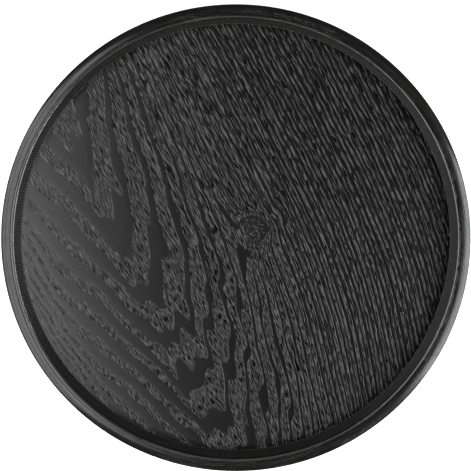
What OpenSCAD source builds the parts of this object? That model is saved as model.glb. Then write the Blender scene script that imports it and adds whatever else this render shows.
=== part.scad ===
// Round serving tray: a veneered plywood floor held in a rim laminated from bent strips.
// Three strips run the rim's whole height. A fourth sits round the face veneer, on the bare edge of the plies,
// with a ledge hoop below, so that the panel is held between them. The rim's crown and its leaning inner wall
// are cut after gluing.
// The frame has its origin on the table at the tray's centre, with +Z up.

/* [Tray] */
// Outside diameter of the tray
tray_d = 300; // [240:5:400]
// Height from the table to the rim's high line
tray_h = 20; // [18:0.5:24]

/* [Rim] */
// Thickness of each bent strip
strip_t = 3.1; // [2.8:0.1:3.2]
// Lean of the inner wall from upright, in degrees
wall_draft = 20; // [16:1:22]
// Radius of the hollow at the foot of the inner wall
hollow_r = 0.3; // [0.2:0.1:1.5]
// Height of the wall strip's thin edge above the floor
toe_t = 0.2; // [0.1:0.05:0.4]
// Radius of the tight rounding at the rim's inner edge
inner_round = 1.4; // [0.8:0.1:1.8]
// Radius of the crown, from the high line out to the shoulder
crown_r = 15; // [12:0.5:20]
// Radius of the rounding between the crown and the outer side
shoulder_r = 0.8; // [0.6:0.1:1.6]
// Bevel at the foot of the outer side
foot_bevel = 0.8; // [0.2:0.1:1.2]

/* [Strip joints] */
// Place round the rim of the outer strip's joint, in degrees from +X
outer_joint_a = 14; // [0:1:359]
// Place round the rim of the middle strip's joint
middle_joint_a = 115; // [0:1:359]
// Place round the rim of the inner strip's joint
inner_joint_a = 245; // [0:1:359]
// Place round the floor of the wall strip's joint
wall_joint_a = 305; // [0:1:359]
// Place round the foot of the ledge hoop's joint
ledge_joint_a = 60; // [0:1:359]
// Angle between each joint's cut and the radius
joint_skew = 25; // [0:1:45]
// Width of a closed joint, which the glue fills
tight_gap = 0.15; // [0.1:0.05:0.3]
// Width of the middle strip's joint, which has opened a little
open_gap = 0.6; // [0.2:0.1:1]

/* [Floor panel] */
// Thickness of the face veneer and of the back veneer
veneer_t = 0.6; // [0.4:0.1:1.2]
// Thickness of each of the five plies between the veneers
ply_t = 1; // [0.8:0.1:1.4]
// Space between the plies' edge and the rim, which the glue fills
panel_gap = 0.15; // [0.1:0.05:0.3]
// Space between the face veneer's edge and the wall strip
veneer_gap = 0.1; // [0.05:0.05:0.2]

/* [Ledge hoop] */
// Width of the ledge hoop under the panel
ledge_w = 6; // [4:0.5:10]
// Height of the ledge hoop, which lifts the panel off the table
ledge_h = 3; // [2:0.5:4]
// Bevel at the foot of the ledge hoop
ledge_bevel = 0.6; // [0.2:0.1:1]

/* [Hidden] */
$fn = 120;
arc_steps = 6;
slack = 1;

// Inner faces of the four strips, from the outside in
r_out = tray_d / 2;
outer_r = r_out - strip_t;
middle_r = outer_r - strip_t;
inner_r = middle_r - strip_t;
toe_x = inner_r - strip_t;
panel_r = inner_r - panel_gap;
veneer_r = toe_x - veneer_gap;

// Levels of the floor panel's layers, from the back veneer up
plies = 5;
back_z = ledge_h;
plies_z = back_z + veneer_t;
face_z = plies_z + plies * ply_t;
floor_z = face_z + veneer_t;

// Centres of the arcs that the leaning wall joins, the hollow at its foot and the rounding at its top
hollow_z = floor_z + toe_t + hollow_r;
inner_z = tray_h - inner_round;
wall_rise = inner_z + inner_round * sin(wall_draft) - (hollow_z - hollow_r * sin(wall_draft));
high_r = toe_x + (hollow_r + inner_round) * cos(wall_draft) + wall_rise * tan(wall_draft);

// Centres and meeting angle of the crown's arc and the shoulder's
crown_z = tray_h - crown_r;
shoulder_x = r_out - shoulder_r;
shoulder_z = crown_z + sqrt(pow(crown_r - shoulder_r, 2) - pow(shoulder_x - high_r, 2));
shoulder_a = acos((shoulder_x - high_r) / (crown_r - shoulder_r));

stain_black = "#1d1b1a";
stain_edge = "#262321";
bare_birch = "#c9a878";
bare_birch_dark = "#b8935f";

// Points of an arc without its first one, which the outline already holds
function arc_on(x, z, r, from_a, to_a) =
    [for (i = [1:arc_steps]) let (a = from_a + (to_a - from_a) * i / arc_steps) [x + r * cos(a), z + r * sin(a)]];

// Section of the whole rim: foot, outer side, crown, leaning wall and hollow
module rim_section() {
    wall_foot = [toe_x + hollow_r * cos(wall_draft), hollow_z - hollow_r * sin(wall_draft)];
    polygon(concat(
        [[toe_x, 0], [r_out - foot_bevel, 0], [r_out, foot_bevel], [r_out, shoulder_z]],
        arc_on(shoulder_x, shoulder_z, shoulder_r, 0, shoulder_a),
        arc_on(high_r, crown_z, crown_r, shoulder_a, 90),
        arc_on(high_r, inner_z, inner_round, 90, 180 - wall_draft),
        [wall_foot],
        arc_on(toe_x, hollow_z, hollow_r, -wall_draft, -90)
    ));
}

// Thin slot where the two ends of a bent strip meet
module joint_slot(r, angle, width) {
    rotate([0, 0, angle])
        translate([r, 0, tray_h / 2])
            rotate([0, 0, joint_skew])
                cube([3 * strip_t, width, tray_h + 2 * slack], center = true);
}

// One bent strip of the rim, from its inner face out and from its lower edge up
module rim_strip(r, z, angle, gap) {
    difference() {
        rotate_extrude()
            intersection() {
                rim_section();
                translate([r, z])
                    square([strip_t, tray_h]);
            }
        joint_slot(r + strip_t / 2, angle, gap);
    }
}

// One round layer of the floor panel
module panel_layer(z, thickness, r) {
    translate([0, 0, z])
        cylinder(h = thickness, r = r);
}

module ply(index) {
    panel_layer(plies_z + index * ply_t, ply_t, panel_r);
}

module face_veneer() {
    color(stain_black)
        panel_layer(face_z, veneer_t, veneer_r);
}

module upper_face_ply() {
    color(bare_birch)
        ply(4);
}

module upper_crossband() {
    color(bare_birch_dark)
        ply(3);
}

module centre_ply() {
    color(bare_birch)
        ply(2);
}

module lower_crossband() {
    color(bare_birch_dark)
        ply(1);
}

module lower_face_ply() {
    color(bare_birch)
        ply(0);
}

module back_veneer() {
    color(stain_black)
        panel_layer(back_z, veneer_t, panel_r);
}

module wall_strip() {
    color(stain_black)
        rim_strip(toe_x, face_z, wall_joint_a, tight_gap);
}

module inner_rim_strip() {
    color(stain_edge)
        rim_strip(inner_r, 0, inner_joint_a, tight_gap);
}

module middle_rim_strip() {
    color(stain_black)
        rim_strip(middle_r, 0, middle_joint_a, open_gap);
}

module outer_rim_strip() {
    color(stain_edge)
        rim_strip(outer_r, 0, outer_joint_a, tight_gap);
}

module ledge_hoop() {
    ledge_r = inner_r - ledge_w;
    color(stain_edge)
        difference() {
            rotate_extrude()
                polygon([
                    [ledge_r + ledge_bevel, 0], [inner_r, 0], [inner_r, ledge_h],
                    [ledge_r, ledge_h], [ledge_r, ledge_bevel]
                ]);
            rotate([0, 0, ledge_joint_a])
                translate([inner_r - ledge_w / 2, 0, ledge_h / 2])
                    rotate([0, 0, joint_skew])
                        cube([2 * ledge_w, tight_gap, ledge_h + 2 * slack], center = true);
        }
}

face_veneer();
upper_face_ply();
upper_crossband();
centre_ply();
lower_crossband();
lower_face_ply();
back_veneer();
wall_strip();
inner_rim_strip();
middle_rim_strip();
outer_rim_strip();
ledge_hoop();
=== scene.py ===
"""Looks of a round, black-stained serving tray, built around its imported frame.

The floor is a sliced ash veneer. Its growth rings follow one rule, which is written once and built twice: in
the geometry nodes that sink the soft wood, and in the shader nodes that colour it. The rim is laminated from
bent strips, each one its own closed mesh that runs from joint to joint, with cutter marks on the inner wall.
"""

from __future__ import annotations

import logging
import math
from dataclasses import dataclass
from enum import Enum
from typing import Callable, Union

import bpy
import numpy as np
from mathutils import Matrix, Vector


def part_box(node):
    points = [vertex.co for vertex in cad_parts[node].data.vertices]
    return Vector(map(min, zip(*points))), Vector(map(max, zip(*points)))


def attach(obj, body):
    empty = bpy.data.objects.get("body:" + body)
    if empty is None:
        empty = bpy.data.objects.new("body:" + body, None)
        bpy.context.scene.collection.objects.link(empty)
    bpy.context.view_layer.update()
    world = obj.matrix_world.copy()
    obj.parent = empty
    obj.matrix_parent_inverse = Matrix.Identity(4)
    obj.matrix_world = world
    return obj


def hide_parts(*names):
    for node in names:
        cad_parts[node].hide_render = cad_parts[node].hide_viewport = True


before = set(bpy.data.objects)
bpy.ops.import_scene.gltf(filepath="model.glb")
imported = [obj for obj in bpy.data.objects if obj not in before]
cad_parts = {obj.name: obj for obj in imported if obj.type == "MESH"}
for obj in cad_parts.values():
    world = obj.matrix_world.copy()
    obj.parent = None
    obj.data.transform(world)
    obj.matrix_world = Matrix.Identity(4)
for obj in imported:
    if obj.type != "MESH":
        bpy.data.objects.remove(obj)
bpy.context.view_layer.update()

LOG = logging.getLogger("tray")
BODY = "root"
MM = 0.001
WALL_MARK = "wall"
ALONG_MAP = "along"
SHARP_ANGLE = math.radians(40.0)

Colour = tuple[float, float, float]
Number = Union["Term", float]
Outline = list[tuple[float, float, float]]


# ---- Formulas as nodes ----


def feed(tree: bpy.types.NodeTree, value: Number | bpy.types.NodeSocket, entry: bpy.types.NodeSocket) -> None:
    """Links a term or socket to a node's input, or sets the input to a plain value.

    Args:
        tree: The node tree that holds both.
        value: What the input gets.
        entry: The input.
    """
    if isinstance(value, Term):
        tree.links.new(value.socket, entry)
    elif isinstance(value, bpy.types.NodeSocket):
        tree.links.new(value, entry)
    else:
        entry.default_value = value


def calc(tree: bpy.types.NodeTree, name: str, *values: Number) -> Term:
    """Adds one Math node.

    Args:
        tree: A shader or geometry tree.
        name: The Math node's operation.
        values: Its operands, terms or plain numbers.

    Returns:
        The node's result.
    """
    node = tree.nodes.new("ShaderNodeMath")
    node.operation = name
    for value, entry in zip(values, node.inputs):
        feed(tree, value, entry)
    return Term(tree, node.outputs[0])


def operation(name: str, swapped: bool = False) -> Callable[..., Term]:
    """Makes the method that applies one Math operation to a term.

    Args:
        name: The Math node's operation.
        swapped: Whether the term is the last operand instead of the first.

    Returns:
        The method, which takes the other operand where the operation has one.
    """

    def apply(term: Term, *others: Number) -> Term:
        """Adds the Math node and gives its result."""
        return calc(term.tree, name, *((*others, term) if swapped else (term, *others)))

    return apply


@dataclass(frozen=True)
class Term:
    """A number in a node tree, so that a formula written in Python becomes Math nodes."""

    tree: bpy.types.NodeTree
    socket: bpy.types.NodeSocket

    __add__ = __radd__ = operation("ADD")
    __sub__ = operation("SUBTRACT")
    __rsub__ = operation("SUBTRACT", swapped=True)
    __mul__ = operation("MULTIPLY")
    __truediv__ = operation("DIVIDE")
    __pow__ = operation("POWER")
    least = operation("MINIMUM")
    most = operation("MAXIMUM")
    fraction = operation("FRACT")
    exp = operation("EXPONENT")
    sin = operation("SINE")
    size = operation("ABSOLUTE")
    angle = operation("ARCTAN2")

    def hypot(self, other: Term) -> Term:
        """The length of the line whose two coordinates are this term and another."""
        return calc(self.tree, "SQRT", self * self + other * other)

    def smooth(self, low: float, high: float, bottom: Number = 0.0, top: Number = 1.0) -> Term:
        """Rises smoothly as the term goes from one value to another.

        Args:
            low: Where the rise starts.
            high: Where it ends.
            bottom: The result below low.
            top: The result above high.

        Returns:
            The smooth step.
        """
        node = self.tree.nodes.new("ShaderNodeMapRange")
        node.interpolation_type = "SMOOTHSTEP"
        for value, entry in zip((self, low, high, bottom, top), node.inputs):
            feed(self.tree, value, entry)
        return Term(self.tree, node.outputs[0])

    def mix(self, bottom: Number, top: Number) -> Term:
        """Goes from bottom to top as the term goes from 0 to 1."""
        return bottom + self * (top - bottom)


def vector(tree: bpy.types.NodeTree, x: Number, y: Number, z: Number) -> bpy.types.NodeSocket:
    """Joins three numbers into a vector.

    Args:
        tree: A shader or geometry tree.
        x: First number.
        y: Second number.
        z: Third number.

    Returns:
        The vector.
    """
    node = tree.nodes.new("ShaderNodeCombineXYZ")
    for value, entry in zip((x, y, z), node.inputs):
        feed(tree, value, entry)
    return node.outputs[0]


def parts(tree: bpy.types.NodeTree, source: bpy.types.NodeSocket) -> tuple[Term, Term, Term]:
    """Splits a vector into its three numbers."""
    node = tree.nodes.new("ShaderNodeSeparateXYZ")
    tree.links.new(source, node.inputs[0])
    return Term(tree, node.outputs[0]), Term(tree, node.outputs[1]), Term(tree, node.outputs[2])


def noise(tree: bpy.types.NodeTree, x: Number, y: Number, z: Number, detail: float = 0.0) -> Term:
    """Smooth noise between 0 and 1, with one bump to each unit.

    Args:
        tree: A shader or geometry tree.
        x: First coordinate.
        y: Second coordinate.
        z: Third coordinate, or the seed of a flat pattern.
        detail: How many finer layers are added.

    Returns:
        The noise.
    """
    node = tree.nodes.new("ShaderNodeTexNoise")
    node.inputs["Scale"].default_value = 1.0
    node.inputs["Detail"].default_value = detail
    tree.links.new(vector(tree, x, y, z), node.inputs["Vector"])
    return Term(tree, node.outputs[0])


def stray(across: Term, along: Term, wide: float, long: float, seed: float) -> Term:
    """Smooth noise from -0.5 to 0.5, whose bumps are so wide and so long in the terms' own unit."""
    return noise(across.tree, across / wide, along / long, seed) - 0.5


def scallops(x: Term, y: Term, marks: Number) -> Term:
    """Cutter marks round the axis: 0 at each mark's edge, 1 in its middle."""
    return (y.angle(x) * marks * 0.5).sin().size()


class Group:
    """A shader node group while it is built, with named inputs and outputs."""

    def __init__(self, name: str, inputs: dict[str, float], outputs: list[str]) -> None:
        """Starts the group.

        Args:
            name: The group's name.
            inputs: Name and default of each number that it takes.
            outputs: Name of each number that it gives.
        """
        self.tree = bpy.data.node_groups.new(name, "ShaderNodeTree")
        face = self.tree.interface
        for label, default in inputs.items():
            face.new_socket(name=label, in_out="INPUT", socket_type="NodeSocketFloat").default_value = default
        for label in outputs:
            face.new_socket(name=label, in_out="OUTPUT", socket_type="NodeSocketFloat")
        self._inputs = self.tree.nodes.new("NodeGroupInput")
        self._outputs = self.tree.nodes.new("NodeGroupOutput")

    def __getitem__(self, label: str) -> Term:
        """The term that arrives at a named input."""
        return Term(self.tree, self._inputs.outputs[label])

    def __setitem__(self, label: str, value: Term) -> None:
        """Sends a term to a named output."""
        self.tree.links.new(value.socket, self._outputs.inputs[label])


# ---- The growth rings' rule ----


@dataclass(frozen=True)
class Knot:
    """A knot that the rings bend round. Places and sizes are in millimetres, across and along the fibre."""

    across: float
    along: float
    wide: float
    tall: float
    pull: float

    def nearness(self, across: Term, along: Term) -> Term:
        """How near a place is to the knot.

        Args:
            across: The place's distance across the fibre.
            along: Its distance along the fibre.

        Returns:
            1 at the knot's middle, falling to 0 round it.
        """
        side = (across - self.across) / self.wide
        end = (along - self.along) / self.tall
        return (0.0 - (side * side + end * end)).exp()


@dataclass(frozen=True)
class RingRule:
    """Where the growth rings of a flat-sliced veneer lie. Lengths are in millimetres.

    The rings are nested arches whose tips stand in one line along the fibre. On one side of that line their
    limbs are nearly straight. On the other they bulge, then run along the fibre, closer and closer.
    """

    fibre_angle: float = -65.2
    lower_bend: float = 0.0011
    upper_bend: float = 0.0003
    tip_line: float = -71.5
    ring_length: float = 31.5
    first_ring: float = 0.48
    limb: float = 2.3
    limb_growth: float = 0.006
    limb_turn: float = 0.16
    limb_turns_from: float = 40.0
    long_above: float = -15.0
    longer: float = 0.39
    bulge: float = 243.0
    bulge_power: float = 2.5
    even_from: float = 100.0
    even_slope: float = 10.3
    steep: float = 0.9
    steep_until: float = 24.0
    warp: float = 1.4
    uneven: float = 0.7
    left_late: float = 0.64
    middle_late: float = 0.37
    right_late: float = 0.56
    seed: float = 3.0
    knots: tuple[Knot, ...] = (Knot(13.1, -1.0, 10.0, 12.0, 125.0), Knot(35.5, -0.5, 7.0, 8.0, 25.0))

    def directions(self, x: Term, y: Term) -> tuple[Term, Term]:
        """Turns a place on the floor into distances across and along the gently bent fibre.

        Args:
            x: Place to the right, in millimetres.
            y: Place away from the user, in millimetres.

        Returns:
            The distance across the fibre and the distance along it.
        """
        turn = math.radians(self.fibre_angle)
        across = x * -math.sin(turn) + y * math.cos(turn)
        along = x * math.cos(turn) + y * math.sin(turn)
        low, high = along.most(0.0), along.least(0.0)
        bend = low * low * self.lower_bend + high * high * self.upper_bend
        return across + bend * across.smooth(self.tip_line, 40.0), along

    def late_share(self, across: Term) -> Term:
        """How much of each ring is smooth late wood."""
        share = across.smooth(-95.0, -35.0, self.left_late, self.middle_late)
        return share + across.smooth(0.0, 55.0, 0.0, self.right_late - self.middle_late)

    def count(self, x: Term, y: Term, jag: Number = 0.0, fray: Number = 0.0) -> Term:
        """The number of rings between a place and the first one.

        Args:
            x: Place to the right, in millimetres.
            y: Place away from the user, in millimetres.
            jag: How far the fibre carries the ring's edge along itself, in millimetres.
            fray: How far the ring's edge strays across the fibre, in millimetres.

        Returns:
            The ring count, whose whole numbers are the rings' dark edges.
        """
        across, along = self.directions(x, y)
        calm = across.smooth(-40.0, 40.0, 1.0, 0.3)
        wide, fine = 22.0, 7.0
        drift = stray(across, along, wide, wide * 2.0, self.seed)
        shiver = stray(across, along, fine, fine * 1.6, self.seed + 3.1)
        drag = stray(across, along, wide, wide, self.seed + 7.3)
        across = across + (drift * 4.0 + shiver * 1.5) * self.warp * calm + fray
        along = along + drag * (5.0 * self.warp) + jag
        right = (across - self.tip_line).most(0.0)
        left = (self.tip_line - across).most(0.0)
        total = right.least(self.even_from) ** self.bulge_power / self.bulge
        total = total + (right - self.even_from).most(0.0) * self.even_slope
        total = total + right.least(self.steep_until) * self.steep * (1.0 - along.smooth(-80.0, 50.0))
        slope = along.most(-80.0).least(110.0) * self.limb_growth + self.limb
        turned = (left - self.limb_turns_from).most(0.0)
        total = total + left * slope + turned * turned * self.limb_turn
        stretched = along + (self.long_above - along).most(0.0) * self.longer
        total = total + stretched * (1.0 - right.smooth(45.0, 112.0) * 0.95)
        for knot in self.knots:
            total = total - knot.nearness(across, along) * knot.pull
        count = total / self.ring_length + self.first_ring
        sway = noise(x.tree, count * 0.8, 0.5, self.seed + 11.0) - 0.5
        return count + sway * count.smooth(3.0, 9.0) * self.uneven


# ---- Shader groups, each used by more than one finish ----


def rings_group(rule: RingRule) -> bpy.types.NodeTree:
    """Growth rings on a flat veneer.

    Args:
        rule: Where the rings lie.

    Returns:
        A group that gives the late wood's mask, the distances along and across the fibre, and the knot.
    """
    group = Group("Growth rings", {"X": 0.0, "Y": 0.0}, ["Late", "Along", "Across", "Knot"])
    tree = group.tree
    x, y = group["X"], group["Y"]
    across, along = rule.directions(x, y)
    core = rule.knots[0]
    knot = Knot(core.across, core.along, 9.0, 10.0, 1.0).nearness(across, along)
    clear = 1.0 - knot
    torn = along.smooth(-30.0, 40.0, 1.0, 0.4)
    tongues = across.smooth(rule.tip_line - 20.0, rule.tip_line + 6.0, 6.0, 34.0)
    jag = stray(across, along, wide=7.5, long=40.0, seed=5.0) * tongues
    jag = jag + stray(across, along, wide=0.8, long=5.0, seed=6.0) * torn * 4.5
    fray = stray(across, along, wide=0.9, long=7.0, seed=8.0) * across.smooth(-30.0, 30.0, 0.4, 1.2) * torn
    phase = rule.count(x, y, jag * clear, fray * clear).fraction()
    start = 1.0 - rule.late_share(across)
    late = (phase - start).smooth(-0.05, 0.04) * (1.0 - phase.smooth(0.965, 1.0))
    mottle = noise(tree, across / 1.4, along / 1.7, 9.0, 1.0).smooth(0.34, 0.46)
    bark = knot.smooth(0.36, 0.46).mix(late, 1.0)
    lit = knot.smooth(0.46, 0.50) * (1.0 - knot.smooth(0.58, 0.64)) * (core.across - across).smooth(4.0, 5.5)
    group["Late"] = knot.smooth(0.52, 0.60).mix(bark, mottle) * (1.0 - lit)
    group["Along"] = along
    group["Across"] = across
    group["Knot"] = knot
    return tree


def pores_group() -> bpy.types.NodeTree:
    """Broken ridges of soft wood between open pores, as a height from 0 to 1, and their tone."""
    inputs = {"Along": 0.0, "Across": 0.0, "Depth": 0.0, "Length": 5.0, "Width": 0.5}
    group = Group("Open pores", inputs, ["Ridges", "Tone"])
    tree = group.tree
    along, across, depth = group["Along"], group["Across"], group["Depth"]
    long, wide = group["Length"], group["Width"]
    coarse = noise(tree, along / long, across / wide, depth / wide)
    fine = noise(tree, along / long * 1.6, across / wide * 1.7, depth / wide + 4.0)
    group["Ridges"] = (coarse * 0.85 + fine * 0.15).smooth(0.475, 0.535)
    tone = noise(tree, along / long * 1.4, across / wide * 0.9, depth / wide + 9.0)
    group["Tone"] = tone.smooth(0.38, 0.62)
    return tree


def fibre_group() -> bpy.types.NodeTree:
    """Fine fibre streaks and slow changes of tone, around 0.5."""
    inputs = {"Along": 0.0, "Across": 0.0, "Depth": 0.0}
    group = Group("Fibre tone", inputs, ["Streaks", "Drift"])
    tree = group.tree
    along, across, depth = group["Along"], group["Across"], group["Depth"]
    group["Streaks"] = noise(tree, along / 9.0, across / 0.28, depth / 0.28, 2.0)
    group["Drift"] = noise(tree, along / 40.0, across / 9.0, depth / 9.0, 1.0)
    return tree


def dust_group() -> bpy.types.NodeTree:
    """A few pale specks of dust, as a mask."""
    group = Group("Dust", {"X": 0.0, "Y": 0.0, "Z": 0.0, "Amount": 0.02}, ["Specks"])
    tree = group.tree
    cells = tree.nodes.new("ShaderNodeTexVoronoi")
    cells.inputs["Scale"].default_value = 1.0
    spread = 6.0
    place = vector(tree, group["X"] / spread, group["Y"] / spread, group["Z"] / spread)
    tree.links.new(place, cells.inputs["Vector"])
    chance = parts(tree, cells.outputs["Color"])[0]
    near = 1.0 - Term(tree, cells.outputs["Distance"]).smooth(0.02, 0.06)
    group["Specks"] = near * (1.0 - (chance - group["Amount"]).smooth(-0.01, 0.0))
    return tree


@dataclass(frozen=True)
class Effects:
    """The shader groups that the finishes share."""

    rings: bpy.types.NodeTree
    pores: bpy.types.NodeTree
    fibre: bpy.types.NodeTree
    dust: bpy.types.NodeTree

    @classmethod
    def build(cls, rule: RingRule) -> Effects:
        """Builds each group once."""
        return cls(rings_group(rule), pores_group(), fibre_group(), dust_group())


# ---- Finishes ----


class Paint:
    """A material while it is built: its tree, its Principled shader and helpers to feed them."""

    def __init__(self, name: str) -> None:
        """Starts a material with one Principled shader.

        Args:
            name: The material's name.
        """
        self.material = bpy.data.materials.new(name)
        self.material.use_nodes = True
        self.tree = self.material.node_tree
        self.shader = self.tree.nodes["Principled BSDF"]

    def place(self) -> tuple[Term, Term, Term]:
        """The point's place in the tray's frame, in millimetres."""
        source = self.tree.nodes.new("ShaderNodeTexCoord").outputs["Object"]
        x, y, z = parts(self.tree, source)
        return x / MM, y / MM, z / MM

    def along_strip(self) -> Term:
        """The distance along a bent strip from its joint, in millimetres, read from the strip's own map."""
        node = self.tree.nodes.new("ShaderNodeUVMap")
        node.uv_map = ALONG_MAP
        return parts(self.tree, node.outputs[0])[0] / MM

    def attribute(self, name: str) -> Term:
        """A number that the mesh carries."""
        node = self.tree.nodes.new("ShaderNodeAttribute")
        node.attribute_name = name
        return Term(self.tree, node.outputs["Fac"])

    def use(self, group: bpy.types.NodeTree, **values: Number) -> Callable[[str], Term]:
        """Places a group and feeds its named inputs.

        Args:
            group: The shader group.
            values: What each input gets; an underscore in a name stands for a space.

        Returns:
            A function that gives a named output as a term.
        """
        node = self.tree.nodes.new("ShaderNodeGroup")
        node.node_tree = group
        for label, value in values.items():
            feed(self.tree, value, node.inputs[label.replace("_", " ")])
        return lambda label: Term(self.tree, node.outputs[label])

    def blend(
        self, share: Number, first: Colour | bpy.types.NodeSocket, second: Colour
    ) -> bpy.types.NodeSocket:
        """Mixes two colours.

        Args:
            share: How much of the second colour.
            first: Colour at 0.
            second: Colour at 1.

        Returns:
            The mixed colour.
        """
        node = self.tree.nodes.new("ShaderNodeMix")
        node.data_type = "RGBA"
        feed(self.tree, share, node.inputs["Factor"])
        for value, entry in zip((first, second), (node.inputs[6], node.inputs[7])):
            feed(self.tree, value if isinstance(value, bpy.types.NodeSocket) else (*value, 1.0), entry)
        return node.outputs[2]

    def finish(
        self, colour: bpy.types.NodeSocket, rough: Term, height: Term, relief: float
    ) -> bpy.types.Material:
        """Feeds the shader.

        Args:
            colour: Base colour.
            rough: Roughness.
            height: Surface height from 0 to 1.
            relief: What a height of 1 stands for, in metres.

        Returns:
            The finished material.
        """
        bump = self.tree.nodes.new("ShaderNodeBump")
        bump.inputs["Distance"].default_value = relief
        feed(self.tree, height, bump.inputs["Height"])
        feed(self.tree, colour, self.shader.inputs["Base Color"])
        feed(self.tree, rough, self.shader.inputs["Roughness"])
        feed(self.tree, bump.outputs[0], self.shader.inputs["Normal"])
        return self.material


@dataclass(frozen=True)
class VeneerFinish:
    """Black-stained, open-pored ash veneer: glossy late wood between bands of ridged early wood.

    The lacquer pools in a smoother ring along the edge, which ends at the pool radius. In that ring the pale
    ridges fade, which darkens the colour as painted shade cast by the rim's wall.
    """

    name: str
    pool_and_shade_r: float
    late: Colour = (0.0024, 0.0023, 0.0023)
    early: Colour = (0.0006, 0.0006, 0.0006)
    ridge: Colour = (0.0060, 0.0059, 0.0058)
    raised: Colour = (0.046, 0.045, 0.044)
    dust: Colour = (0.30, 0.29, 0.28)
    late_gloss: float = 0.255
    pore_gloss: float = 0.17
    ridge_gloss: float = 0.48
    pool_gloss: float = 0.13
    pool_and_shade_starts: float = 0.967
    pool_and_shade_share: float = 0.7
    specks: float = 0.025
    relief: float = 0.20 * MM

    def material(self, effects: Effects) -> bpy.types.Material:
        """Builds the material.

        Args:
            effects: The shared shader groups.

        Returns:
            The material.
        """
        paint = Paint(self.name)
        x, y, z = paint.place()
        rings = paint.use(effects.rings, X=x, Y=y)
        late, along, across, knot = rings("Late"), rings("Along"), rings("Across"), rings("Knot")
        streaks = paint.use(effects.fibre, Along=along, Across=across, Depth=z)("Streaks")
        length, width = along.smooth(-10.0, 60.0, 6.0, 4.6), across.smooth(-40.0, 40.0, 0.48, 0.60)
        pores = paint.use(effects.pores, Along=along, Across=across, Depth=z, Length=length, Width=width)
        ridges, tone = pores("Ridges"), pores("Tone")
        specks = paint.use(effects.dust, X=x, Y=y, Z=z, Amount=self.specks)("Specks")
        early = 1.0 - late
        edge = self.pool_and_shade_r / MM
        # Painted shade and pooled lacquer: near the wall most of the pale ridges are faded out, which darkens
        # the colour where the wall shades the floor. The same ring is also made glossier.
        pool_and_shade = x.hypot(y).smooth(self.pool_and_shade_starts * edge, edge) * self.pool_and_shade_share
        ridges = ridges * (1.0 - pool_and_shade)
        wood = paint.blend(ridges * early, paint.blend(late, self.early, self.late), self.ridge)
        wood = paint.blend(ridges * early * tone, wood, self.raised)
        wood = paint.blend(specks, wood, self.dust)
        rough = late.mix(ridges.mix(self.pore_gloss, self.ridge_gloss), self.late_gloss)
        rough = pool_and_shade.mix(rough + (streaks - 0.5) * early.mix(0.04, 0.10) + knot * 0.04, self.pool_gloss)
        height = ridges * early + streaks * early.mix(0.02, 0.12) + late * 0.40
        return paint.finish(wood, rough, height, self.relief)


@dataclass(frozen=True)
class BentFinish:
    """Black-stained bent strip, with its grain along the bend.

    Where an edge radius is given, a narrow band just inside it is painted paler as a highlight along the
    inner edge. Where a number of cutter marks is given, their grooves on the wall are painted darker as
    shade, most strongly on its left.
    """

    name: str
    base: Colour = (0.0050, 0.0048, 0.0047)
    streak: Colour = (0.014, 0.0135, 0.013)
    dust: Colour = (0.30, 0.29, 0.28)
    # Painted highlight: the pale colour of the band along the inner edge, where the rounding catches the
    # light.
    highlight_line: Colour = (0.034, 0.0335, 0.033)
    # Painted shade: the dark colour put in the cutter marks' grooves.
    cut: Colour = (0.0010, 0.0010, 0.0010)
    gloss: float = 0.20
    relief: float = 0.06 * MM
    pore_length: float = 5.0
    pore_width: float = 0.5
    specks: float = 0.02
    seed: float = 0.0
    specular: float = 0.36
    edge_r: float = 0.0
    marks: float = 0.0

    def material(self, effects: Effects) -> bpy.types.Material:
        """Builds the material.

        Args:
            effects: The shared shader groups.

        Returns:
            The material.
        """
        paint = Paint(self.name)
        x, y, z = paint.place()
        along = paint.along_strip() + self.seed
        radius = x.hypot(y)
        fibre = paint.use(effects.fibre, Along=along, Across=radius, Depth=z)
        streaks, drift = fibre("Streaks"), fibre("Drift")
        pores = paint.use(
            effects.pores, Along=along, Across=radius, Depth=z, Length=self.pore_length, Width=self.pore_width
        )
        specks = paint.use(effects.dust, X=x, Y=y, Z=z, Amount=self.specks)("Specks")
        open_wood = drift.smooth(0.42, 0.62)
        wood = paint.blend(streaks.smooth(0.35, 0.75), self.base, self.streak)
        if self.edge_r:
            # Painted highlight: a pale band just inside the edge radius stands in for the light caught by the
            # inner rounding.
            inward = self.edge_r / MM - radius
            band = inward.smooth(0.0, 0.25) * (1.0 - inward.smooth(0.8, 1.1))
            painted_highlight = band * drift.smooth(0.2, 0.6, 0.5, 1.0)
            wood = paint.blend(painted_highlight, wood, self.highlight_line)
        if self.marks:
            # Painted shade: the cutter marks' grooves are darkened in the colour, most strongly on the wall's
            # left side. The same grooves also feed roughness and bump.
            strength = (x / radius).smooth(-0.8, 0.1, 1.0, 0.3) * paint.attribute(WALL_MARK)
            groove_and_shade = (1.0 - scallops(x, y, self.marks).smooth(0.15, 0.90)) * strength
            wood = paint.blend(groove_and_shade, wood, self.cut)
            streaks = streaks + groove_and_shade * 2.0
        wood = paint.blend(specks, wood, self.dust)
        rough = (drift - 0.5) * 0.12 + (streaks - 0.5) * 0.12 + self.gloss
        paint.shader.inputs["Specular IOR Level"].default_value = self.specular
        height = streaks * 0.3 + pores("Ridges") * open_wood
        return paint.finish(wood, rough, height, self.relief)


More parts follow.
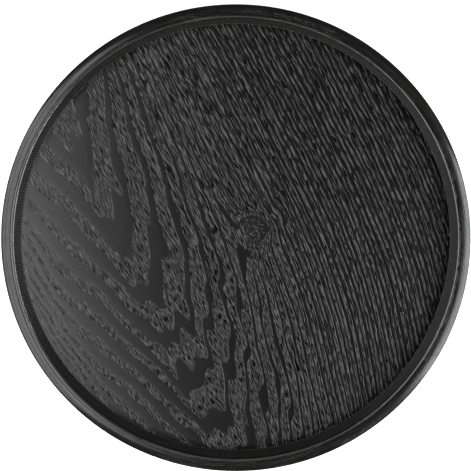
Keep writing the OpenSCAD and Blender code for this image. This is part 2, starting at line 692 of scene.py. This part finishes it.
@dataclass(frozen=True)
class PlyFinish:
    """Bare rotary-cut birch."""

    name: str
    pale: Colour = (0.62, 0.46, 0.29)
    dark: Colour = (0.46, 0.31, 0.17)
    relief: float = 0.03 * MM
    turned: bool = False

    def material(self, effects: Effects) -> bpy.types.Material:
        """Builds the material.

        Args:
            effects: The shared shader groups.

        Returns:
            The material.
        """
        paint = Paint(self.name)
        x, y, z = paint.place()
        along, across = (y, x) if self.turned else (x, y)
        fibre = paint.use(effects.fibre, Along=along, Across=across, Depth=z)
        tone = fibre("Streaks") * 0.5 + fibre("Drift") * 0.5
        wood = paint.blend(tone.smooth(0.3, 0.7), self.dark, self.pale)
        rough = tone * 0.2 + 0.6
        return paint.finish(wood, rough, tone, self.relief)


# ---- Meshes ----


def mesh_object(name: str, points: np.ndarray, faces: list[tuple[int, ...]]) -> bpy.types.Object:
    """Makes a mesh object at the origin.

    Args:
        name: The piece's name.
        points: One row of x, y, z in metres for each vertex.
        faces: The corners of each face.

    Returns:
        The object, linked to the scene.
    """
    mesh = bpy.data.meshes.new(name)
    mesh.from_pydata(points.tolist(), [], faces)
    mesh.update()
    piece = bpy.data.objects.new(name, mesh)
    bpy.context.scene.collection.objects.link(piece)
    return piece


def bake_modifier(piece: bpy.types.Object) -> None:
    """Turns a piece's modifiers into a plain mesh and removes them.

    Args:
        piece: The piece, whose mesh is replaced.
    """
    graph = bpy.context.evaluated_depsgraph_get()
    result = bpy.data.meshes.new_from_object(
        piece.evaluated_get(graph), preserve_all_data_layers=True, depsgraph=graph
    )
    piece.modifiers.clear()
    old, piece.data = piece.data, result
    bpy.data.meshes.remove(old)
    result.name = piece.name


def shade(piece: bpy.types.Object) -> None:
    """Shades a piece smooth apart from its sharp edges."""
    piece.data.shade_smooth()
    piece.data.set_sharp_from_angle(angle=SHARP_ANGLE)


class NodeShape:
    """A geometry tree while it is built, with named inputs, ending in Realize Instances and Set Material."""

    def __init__(self, name: str, sizes: dict[str, float], finish: bpy.types.Material) -> None:
        """Starts the tree.

        Args:
            name: The tree's name.
            sizes: Name and value of each input.
            finish: The material that Set Material gives.
        """
        self.tree = bpy.data.node_groups.new(name, "GeometryNodeTree")
        face = self.tree.interface
        face.new_socket(name="Geometry", in_out="INPUT", socket_type="NodeSocketGeometry")
        face.new_socket(name="Geometry", in_out="OUTPUT", socket_type="NodeSocketGeometry")
        self.sizes = sizes
        self.finish = finish
        self.sockets = {
            label: face.new_socket(name=label, in_out="INPUT", socket_type="NodeSocketFloat")
            for label in sizes
        }
        self._inputs = self.tree.nodes.new("NodeGroupInput")

    def __getitem__(self, label: str) -> Term:
        """The term that arrives at a named input."""
        return Term(self.tree, self._inputs.outputs[label])

    def place(self) -> tuple[Term, Term, Term]:
        """The point's place, in metres."""
        return parts(self.tree, self.tree.nodes.new("GeometryNodeInputPosition").outputs[0])

    def attribute(self, name: str) -> Term:
        """A named number that the mesh carries."""
        node = self.tree.nodes.new("GeometryNodeInputNamedAttribute")
        node.inputs["Name"].default_value = name
        return Term(self.tree, node.outputs[0])

    def shift(self, offset: bpy.types.NodeSocket) -> None:
        """Moves every point by an offset, then ends the tree.

        Args:
            offset: The offset vector, in metres.
        """
        nodes, links = self.tree.nodes, self.tree.links
        move = nodes.new("GeometryNodeSetPosition")
        real = nodes.new("GeometryNodeRealizeInstances")
        dress = nodes.new("GeometryNodeSetMaterial")
        dress.inputs["Material"].default_value = self.finish
        out = nodes.new("NodeGroupOutput")
        links.new(self._inputs.outputs["Geometry"], move.inputs["Geometry"])
        links.new(offset, move.inputs["Offset"])
        links.new(move.outputs[0], real.inputs[0])
        links.new(real.outputs[0], dress.inputs["Geometry"])
        links.new(dress.outputs[0], out.inputs[0])

    def apply(self, piece: bpy.types.Object) -> None:
        """Runs the tree on a piece and keeps the result as its plain mesh.

        Args:
            piece: The piece to reshape.
        """
        modifier = piece.modifiers.new(self.tree.name, "NODES")
        modifier.node_group = self.tree
        for label, value in self.sizes.items():
            modifier[self.sockets[label].identifier] = value
        bake_modifier(piece)


# ---- The tray's sizes, from the frame ----


@dataclass(frozen=True)
class TraySizes:
    """The tray's radii and levels, in metres."""

    rim_r: float
    middle_r: float
    inner_r: float
    wall_r: float
    toe_r: float
    ledge_r: float
    top: float
    floor: float
    bare: float
    back: float
    ledge_w: float = 6.0 * MM

    @classmethod
    def from_frame(cls) -> TraySizes:
        """Reads the boxes of the frame's nodes."""

        def radius(node: str) -> float:
            """A node's largest distance from the axis."""
            low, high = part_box(node)
            return max(high.x, -low.x, high.y, -low.y)

        strip = radius("outer_rim_strip") - radius("middle_rim_strip")
        return cls(
            rim_r=radius("outer_rim_strip"),
            middle_r=radius("middle_rim_strip"),
            inner_r=radius("inner_rim_strip"),
            wall_r=radius("wall_strip"),
            toe_r=radius("wall_strip") - strip,
            ledge_r=radius("ledge_hoop"),
            top=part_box("inner_rim_strip")[1].z,
            floor=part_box("face_veneer")[1].z,
            bare=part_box("face_veneer")[0].z,
            back=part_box("back_veneer")[0].z,
        )


def arc(x: float, z: float, r: float, start: float, end: float, steps: int, wall: float = 0.0) -> Outline:
    """Points of an arc in the section, each with its wall mark.

    Args:
        x: The centre's radius.
        z: The centre's height.
        r: The arc's radius.
        start: First angle, in degrees from outwards.
        end: Last angle.
        steps: How many stretches.
        wall: 1 where the cutter ran, 0 elsewhere.

    Returns:
        The points, both ends included.
    """
    turns = (math.radians(start + (end - start) * i / steps) for i in range(steps + 1))
    return [(x + r * math.cos(a), z + r * math.sin(a), wall) for a in turns]


@dataclass
class RimSection:
    """The rim's whole section: foot, outer side, crown, leaning wall and the hollow at its foot."""

    sizes: TraySizes
    draft: float = 20.0
    hollow: float = 0.3 * MM
    toe: float = 0.2 * MM
    inner_round: float = 1.4 * MM
    crown: float = 15.0 * MM
    shoulder: float = 0.8 * MM
    foot_bevel: float = 0.8 * MM
    wall_steps: int = 12

    def high_radius(self) -> float:
        """Where the inner rounding meets the crown.

        Returns:
            The radius of the rim's highest line, in metres.
        """
        s = self.sizes
        lean = math.radians(self.draft)
        rise = s.top - s.floor - self.toe - (self.inner_round + self.hollow) * (1 - math.sin(lean))
        return s.toe_r + (self.hollow + self.inner_round) * math.cos(lean) + rise * math.tan(lean)

    def outline(self) -> Outline:
        """The section's outline, counter-clockwise from its lower inner corner.

        Returns:
            Radius, height and wall mark of each point.
        """
        s = self.sizes
        hollow_z = s.floor + self.toe + self.hollow
        inner_z = s.top - self.inner_round
        high = self.high_radius()
        crown_z = s.top - self.crown
        shoulder_x = s.rim_r - self.shoulder
        reach = self.crown - self.shoulder
        turn = math.acos((shoulder_x - high) / reach)
        shoulder_z = crown_z + reach * math.sin(turn)
        turn = math.degrees(turn)
        foot = [(s.toe_r, 0.0, 0.0)]
        foot += arc(s.rim_r - self.foot_bevel, self.foot_bevel, self.foot_bevel, -90.0, 0.0, 4)
        side = arc(shoulder_x, shoulder_z, self.shoulder, 0.0, turn, 6)
        crown = arc(high, crown_z, self.crown, turn, 90.0, 14)[1:]
        inner = arc(high, inner_z, self.inner_round, 90.0, 180.0 - self.draft, 8)[1:]
        hollow = arc(s.toe_r, hollow_z, self.hollow, -self.draft, -90.0, 6)
        top, low = inner[-1], hollow[0]
        wall = [
            tuple(top[k] + (low[k] - top[k]) * i / self.wall_steps for k in (0, 1)) + (1.0,)
            for i in range(self.wall_steps + 1)
        ]
        return foot + side + crown + inner[:-1] + wall + hollow[1:]


def clip(outline: Outline, axis: int, limit: float, keep_above: bool) -> Outline:
    """Cuts an outline by a straight line along one axis.

    Args:
        outline: Points with radius, height and wall mark.
        axis: 0 to cut at a radius, 1 to cut at a height.
        limit: Where to cut.
        keep_above: Whether the part beyond the limit stays.

    Returns:
        What is left.
    """
    sign = 1.0 if keep_above else -1.0
    kept: Outline = []
    for first, second in zip(outline, outline[1:] + outline[:1]):
        a, b = sign * (first[axis] - limit), sign * (second[axis] - limit)
        if a >= 0:
            kept.append(first)
        if a * b < 0:
            share = a / (a - b)
            mark = min(first[2], second[2])
            kept.append(tuple(first[k] + (second[k] - first[k]) * share for k in (0, 1)) + (mark,))
    return kept


def thin_out(outline: Outline, least: float = 0.00002) -> Outline:
    """Drops points that stand on the one before them."""
    return [p for p, q in zip(outline, outline[-1:] + outline[:-1]) if math.dist(p[:2], q[:2]) > least]


def ease(outline: Outline, seams: dict[float, float], upper: float = 0.7, longest: float = 0.9) -> Outline:
    """Bevels the upper corners that stand at given radii, so that a seam shows as a fine line.

    Args:
        outline: Points with radius, height and wall mark.
        seams: Radius of each seam and size of its bevel, in metres.
        upper: The share of the height above which a corner counts as upper.
        longest: The largest share of an edge that a bevel takes.

    Returns:
        The outline with each such corner cut off.
    """
    eased: Outline = []
    top = max(point[1] for point in outline)
    for last, here, nxt in zip(outline[-1:] + outline[:-1], outline, outline[1:] + outline[:1]):
        size = max((bevel for radius, bevel in seams.items() if abs(here[0] - radius) < 1e-7), default=0.0)
        if not size or here[1] < top * upper:
            eased.append(here)
            continue
        for other in (last, nxt):
            share = min(size / math.dist(here[:2], other[:2]), longest)
            eased.append(tuple(here[k] + (other[k] - here[k]) * share for k in (0, 1)) + (here[2],))
    return eased


@dataclass
class BentStrip:
    """One strip bent into a ring, from its joint right round to its joint.

    The section is swept round the tray's centre. The two ends are cut askew. They stand a gap apart at the
    top and all but meet further down, where glue has filled the joint.
    """

    node: str
    section: Outline
    joint: float
    gap: float
    segments: int
    skew: float = 25.0
    open_depth: float = 4.0 * MM
    closed_gap: float = 0.02 * MM

    def build(self) -> bpy.types.Object:
        """Makes the strip's closed mesh, with the distance from the joint in its own map.

        Returns:
            The strip.
        """
        section = np.array([p[:2] for p in self.section])
        marks = np.array([p[2] for p in self.section])
        count, rows = len(section), self.segments + 1
        middle = (section[:, 0].min() + section[:, 0].max()) / 2
        askew = math.tan(math.radians(self.skew)) * (section[:, 0] - middle)
        lowest_open = section[:, 1].max() - self.open_depth
        gap = np.where(section[:, 1] > lowest_open, self.gap, min(self.gap, self.closed_gap))
        start = math.radians(self.joint) + (gap / 2 + askew) / section[:, 0]
        sweep = 2 * math.pi - gap / section[:, 0]
        share = np.linspace(0.0, 1.0, rows)[:, None]
        turn = start[None, :] + share * sweep[None, :]
        radius = np.broadcast_to(section[None, :, 0], turn.shape)
        height = np.broadcast_to(section[None, :, 1], turn.shape)
        points = np.stack([radius * np.cos(turn), radius * np.sin(turn), height], axis=-1).reshape(-1, 3)
        faces = [
            (row * count + k, (row + 1) * count + k, (row + 1) * count + nxt, row * count + nxt)
            for row in range(self.segments)
            for k, nxt in ((k, (k + 1) % count) for k in range(count))
        ]
        last = self.segments * count
        faces += [tuple(range(count)), tuple(last + k for k in reversed(range(count)))]
        piece = mesh_object(self.node, points, faces)
        self.map_along(piece, np.repeat(share[:, 0] * 2 * math.pi * middle, count), count)
        wall = piece.data.attributes.new(WALL_MARK, "FLOAT", "POINT")
        wall.data.foreach_set("value", np.tile(marks, rows))
        return piece

    def map_along(self, piece: bpy.types.Object, along: np.ndarray, count: int) -> None:
        """Writes the strip's map: distance along the strip, and distance round its section, in metres.

        Args:
            piece: The strip.
            along: Each vertex's distance from the joint.
            count: How many points the section has.
        """
        section = np.array([p[:2] for p in self.section])
        steps = np.linalg.norm(np.roll(section, -1, axis=0) - section, axis=1)
        around = np.concatenate([[0.0], np.cumsum(steps)[:-1]])
        corners = np.zeros(len(piece.data.loops), np.int32)
        piece.data.loops.foreach_get("vertex_index", corners)
        uv = np.stack([along[corners], around[corners % count]], axis=-1).astype(np.float32)
        piece.data.uv_layers.new(name=ALONG_MAP).data.foreach_set("uv", uv.ravel())


@dataclass
class CutterMarks:
    """Fine upright marks that the cutter left round the inner wall."""

    count: float = 464.0
    depth: float = 0.10 * MM
    patch: float = 30.0 * MM

    def cut(self, strip: bpy.types.Object, finish: bpy.types.Material) -> None:
        """Cuts the marks into a strip where its wall mark is set.

        Args:
            strip: The strip.
            finish: Its material.
        """
        shape = NodeShape("Cutter marks", {"Marks": self.count, "Depth": self.depth}, finish)
        tree = shape.tree
        x, y, _ = shape.place()
        radius = x.hypot(y)
        strength = noise(tree, x / self.patch, y / self.patch, 4.0).smooth(0.3, 0.7, 0.35, 1.0)
        out = scallops(x, y, shape["Marks"]) * strength * shape["Depth"] * shape.attribute(WALL_MARK)
        shape.shift(vector(tree, x / radius * out, y / radius * out, 0.0))
        shape.apply(strip)


# ---- Sub-assemblies ----


def dress(piece: bpy.types.Object, finish: bpy.types.Material, slot: str, *nodes: str) -> None:
    """Gives a piece its finish and ties it to the frame.

    Args:
        piece: The piece.
        finish: Its material.
        slot: Not used.
        nodes: The CAD nodes that it stands for.
    """
    piece.data.materials.clear()
    piece.data.materials.append(finish)
    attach(piece, BODY)
    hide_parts(*nodes)
    LOG.info("%s: %d faces", piece.name, len(piece.data.polygons))


class Joint(Enum):
    """Where each strip's ends meet, in degrees from +X."""

    OUTER = 14.0
    MIDDLE = 115.0
    INNER = 245.0
    WALL = 305.0
    LEDGE = 60.0


@dataclass
class Rim:
    """The rim's four bent strips and the ledge hoop under the floor panel."""

    sizes: TraySizes
    effects: Effects
    tight: float = 0.15 * MM
    opened: float = 0.6 * MM
    ledge_bevel: float = 0.6 * MM
    seam: float = 0.1 * MM
    wide_seam: float = 0.60 * MM
    round_steps: int = 720
    steps_per_mark: int = 6

    def strip_section(self, inside: float, outside: float, bottom: float) -> Outline:
        """The part of the rim's section that one strip fills.

        Args:
            inside: The strip's inner radius, in metres.
            outside: Its outer radius.
            bottom: The level of its lower edge.

        Returns:
            The strip's outline, with its seams eased.
        """
        outline = clip(RimSection(self.sizes).outline(), 0, inside, True)
        outline = clip(outline, 0, outside, False)
        outline = thin_out(clip(outline, 1, bottom, True))
        return ease(outline, {self.sizes.inner_r: self.wide_seam, self.sizes.middle_r: self.seam})

    def ledge_section(self) -> Outline:
        """The ledge hoop's section, with its lower inner corner bevelled.

        Returns:
            The outline.
        """
        s, b = self.sizes, self.ledge_bevel
        inside = s.ledge_r - s.ledge_w
        corners = ((inside + b, 0.0), (s.ledge_r, 0.0), (s.ledge_r, s.back), (inside, s.back), (inside, b))
        return [(*corner, 0.0) for corner in corners]

    def build(self) -> None:
        """Makes and dresses the five strips."""
        s = self.sizes
        marks = CutterMarks()
        rim_finish = BentFinish("rim").material(self.effects)
        highlight_line = RimSection(s).high_radius()
        edge_finish = BentFinish(
            "inner_rim", seed=150.0, specular=0.65, edge_r=highlight_line, marks=marks.count,
        ).material(self.effects)
        wall_finish = BentFinish(
            "wall_strip", base=(0.012, 0.0118, 0.0115), streak=(0.026, 0.0255, 0.025), seed=300.0, gloss=0.26,
            relief=0.05 * MM, marks=marks.count,
        ).material(self.effects)
        ledge_finish = BentFinish("ledge_hoop", seed=700.0, gloss=0.45).material(self.effects)
        section = self.strip_section
        plans = (
            ("outer_rim_strip", section(s.middle_r, s.rim_r, 0.0), Joint.OUTER, rim_finish),
            ("middle_rim_strip", section(s.inner_r, s.middle_r, 0.0), Joint.MIDDLE, rim_finish),
            ("inner_rim_strip", section(s.wall_r, s.inner_r, 0.0), Joint.INNER, edge_finish),
            ("wall_strip", section(s.toe_r, s.wall_r, s.bare), Joint.WALL, wall_finish),
            ("ledge_hoop", self.ledge_section(), Joint.LEDGE, ledge_finish),
        )
        own_slots = ("wall_strip", "ledge_hoop")
        for node, outline, joint, finish in plans:
            gap = self.opened if joint is Joint.MIDDLE else self.tight
            marked = any(wall > 0 for _, _, wall in outline)
            steps = int(marks.count) * self.steps_per_mark if marked else self.round_steps
            piece = BentStrip(f"{node}_skin", outline, joint.value, gap, steps).build()
            if marked:
                marks.cut(piece, finish)
            shade(piece)
            dress(piece, finish, node if node in own_slots else "rim", node)


@dataclass
class FloorPanel:
    """The veneered plywood panel: face veneer, five plies and back veneer."""

    sizes: TraySizes
    effects: Effects
    rule: RingRule
    face_cells: int = 270
    back_cells: int = 48
    sink: float = 0.025 * MM
    edge: float = 0.1 * MM

    def disc(self, name: str, radius: float, low: float, high: float, cells: int) -> bpy.types.Object:
        """Makes a closed round layer whose two faces are even grids.

        Args:
            name: The piece's name.
            radius: Its radius.
            low: Level of its lower face.
            high: Level of its upper face.
            cells: Grid cells across the upper face.

        Returns:
            The layer.
        """
        line = np.linspace(-1.0, 1.0, cells + 1)
        a, b = np.meshgrid(line, line)
        x = a * np.sqrt(1 - b * b / 2) * radius
        y = b * np.sqrt(1 - a * a / 2) * radius
        top = np.stack([x, y, np.full_like(x, high)], axis=-1).reshape(-1, 3)
        side = cells + 1
        faces = [
            (row * side + k, row * side + k + 1, (row + 1) * side + k + 1, (row + 1) * side + k)
            for row in range(cells)
            for k in range(cells)
        ]
        border = list(range(side)) + [row * side + cells for row in range(1, side)]
        border += [cells * side + k for k in range(cells - 1, -1, -1)]
        border += [row * side for row in range(cells - 1, 0, -1)]
        first = len(top)
        bottom = top[border] * (1.0, 1.0, 0.0) + (0.0, 0.0, low)
        count = len(border)
        for k in range(count):
            nxt = (k + 1) % count
            faces.append((border[nxt], border[k], first + k, first + nxt))
        faces.append(tuple(first + k for k in reversed(range(count))))
        return mesh_object(name, np.concatenate([top, bottom]), faces)

    def sink_early_wood(self, piece: bpy.types.Object, finish: bpy.types.Material) -> None:
        """Sinks the soft early wood between the rings where the rings are wide.

        Args:
            piece: The face veneer.
            finish: Its material.
        """
        shape = NodeShape("Ring relief", {"Sink": self.sink, "Radius": self.sizes.toe_r}, finish)
        x, y, z = shape.place()
        across, _ = self.rule.directions(x / MM, y / MM)
        phase = self.rule.count(x / MM, y / MM).fraction()
        start = 1.0 - self.rule.late_share(across)
        early = 1.0 - (phase - start).smooth(-0.16, 0.12) * (1.0 - phase.smooth(0.85, 1.0))
        wide = 1.0 - (across - self.rule.tip_line).smooth(50.0, 85.0)
        inside = 1.0 - (x.hypot(y) / shape["Radius"]).smooth(0.96, 0.985)
        upper = (z / self.sizes.floor).smooth(0.97, 0.99)
        drop = early * wide * inside * upper * shape["Sink"] * -1.0
        shape.shift(vector(shape.tree, 0.0, 0.0, drop))
        shape.apply(piece)

    def build(self) -> None:
        """Makes and dresses the panel's seven layers."""
        s = self.sizes
        face_finish = VeneerFinish("face_veneer", pool_and_shade_r=s.toe_r).material(self.effects)
        back_finish = VeneerFinish(
            "back_veneer", pool_and_shade_r=s.wall_r, late_gloss=0.40, pore_gloss=0.45
        ).material(self.effects)
        face = self.disc("face_veneer_skin", s.toe_r - self.edge, s.bare, s.floor, self.face_cells)
        self.sink_early_wood(face, face_finish)
        shade(face)
        dress(face, face_finish, "face_veneer", "face_veneer")
        low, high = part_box("back_veneer")
        back = self.disc("back_veneer_skin", high.x, low.z, high.z, self.back_cells)
        shade(back)
        dress(back, back_finish, "back_veneer", "back_veneer")
        plain = PlyFinish("birch_ply").material(self.effects)
        crossed = PlyFinish("birch_crossband", turned=True).material(self.effects)
        for node in ("upper_face_ply", "centre_ply", "lower_face_ply", "upper_crossband", "lower_crossband"):
            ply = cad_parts[node]
            ply.data.materials.clear()
            ply.data.materials.append(crossed if "crossband" in node else plain)
            LOG.info("%s: ply dressed", node)


# ---- Studio ----


@dataclass(frozen=True)
class SoftBox:
    """A rectangular soft light that looks at the tray."""

    name: str
    bearing: float
    from_vertical: float
    distance: float
    wide: float
    tall: float
    radiance: float

    def build(self) -> None:
        """Hangs the light, facing the tray's centre."""
        data = bpy.data.lights.new(self.name, "AREA")
        data.shape = "RECTANGLE"
        data.size, data.size_y = self.wide, self.tall
        data.energy = self.radiance * math.pi * self.wide * self.tall
        lamp = bpy.data.objects.new(self.name, data)
        bearing, lean = math.radians(self.bearing), math.radians(self.from_vertical)
        out = math.sin(lean)
        away = Vector((out * math.cos(bearing), out * math.sin(bearing), math.cos(lean)))
        lamp.location = away * self.distance
        lamp.rotation_euler = away.to_track_quat("Z", "Y").to_euler()
        bpy.context.scene.collection.objects.link(lamp)


@dataclass
class Studio:
    """Pale floor, dim room, soft lights and the camera."""

    sizes: TraySizes
    camera_distance: float = 1.35
    camera_tilt: float = 6.0
    view_width: float = 0.3001
    aim: tuple[float, float] = (-0.0002, 0.0034)
    floor_reach: float = 6.0
    floor_drop: float = 0.3 * MM
    floor_grey: float = 0.85
    floor_glow: float = 0.9
    room_grey: float = 0.015

    def pale_floor(self) -> None:
        """Lays a plain pale floor that is clear from below."""
        r = self.floor_reach
        corners = np.array([(-r, -r, 0), (r, -r, 0), (r, r, 0), (-r, r, 0)], float)
        floor = mesh_object("pale_floor", corners, [(0, 1, 2, 3)])
        material = bpy.data.materials.new("pale_floor")
        material.use_nodes = True
        tree = material.node_tree
        shader = tree.nodes["Principled BSDF"]
        shader.inputs["Base Color"].default_value = (*[self.floor_grey] * 3, 1.0)
        shader.inputs["Roughness"].default_value = 0.9
        shader.inputs["Emission Color"].default_value = (1.0, 1.0, 1.0, 1.0)
        shader.inputs["Emission Strength"].default_value = self.floor_glow
        clear = tree.nodes.new("ShaderNodeBsdfTransparent")
        mix = tree.nodes.new("ShaderNodeMixShader")
        side = tree.nodes.new("ShaderNodeNewGeometry")
        tree.links.new(side.outputs["Backfacing"], mix.inputs["Fac"])
        tree.links.new(shader.outputs[0], mix.inputs[1])
        tree.links.new(clear.outputs[0], mix.inputs[2])
        tree.links.new(mix.outputs[0], tree.nodes["Material Output"].inputs["Surface"])
        floor.data.materials.append(material)
        floor.location.z = -self.floor_drop

    def room(self) -> None:
        """Sets the dim, even room light."""
        world = bpy.data.worlds.new("room")
        world.use_nodes = True
        world.node_tree.nodes["Background"].inputs["Color"].default_value = (*[self.room_grey] * 3, 1.0)
        scene = bpy.context.scene
        scene.world = world
        scene.view_settings.view_transform = "Standard"

    def camera(self) -> None:
        """Hangs the camera over the tray, leaning a little back from its far edge."""
        data = bpy.data.cameras.new("camera")
        data.lens = data.sensor_width * self.camera_distance / self.view_width
        camera = bpy.data.objects.new("camera", data)
        lean = math.radians(self.camera_tilt)
        target = Vector((*self.aim, self.sizes.top))
        camera.location = target + Vector((0.0, math.sin(lean), math.cos(lean))) * self.camera_distance
        camera.rotation_euler = (-lean, 0.0, 0.0)
        bpy.context.scene.collection.objects.link(camera)
        bpy.context.scene.camera = camera

    def build(self) -> None:
        """Makes the whole studio."""
        self.room()
        self.pale_floor()
        self.camera()
        boxes = (
            SoftBox("left_softbox", 190.0, 38.0, 0.80, 1.0, 0.68, 4.9),
            SoftBox("right_softbox", 345.0, 57.0, 0.90, 0.8, 0.50, 10.0),
        )
        for box in boxes:
            box.build()


def main() -> None:
    """Builds the tray's pieces, dresses them and sets the studio."""
    logging.basicConfig(level=logging.INFO, format="%(name)s: %(message)s")
    sizes = TraySizes.from_frame()
    rule = RingRule()
    effects = Effects.build(rule)
    Rim(sizes, effects).build()
    FloorPanel(sizes, effects, rule).build()
    Studio(sizes).build()


if __name__ == "__main__":
    main()
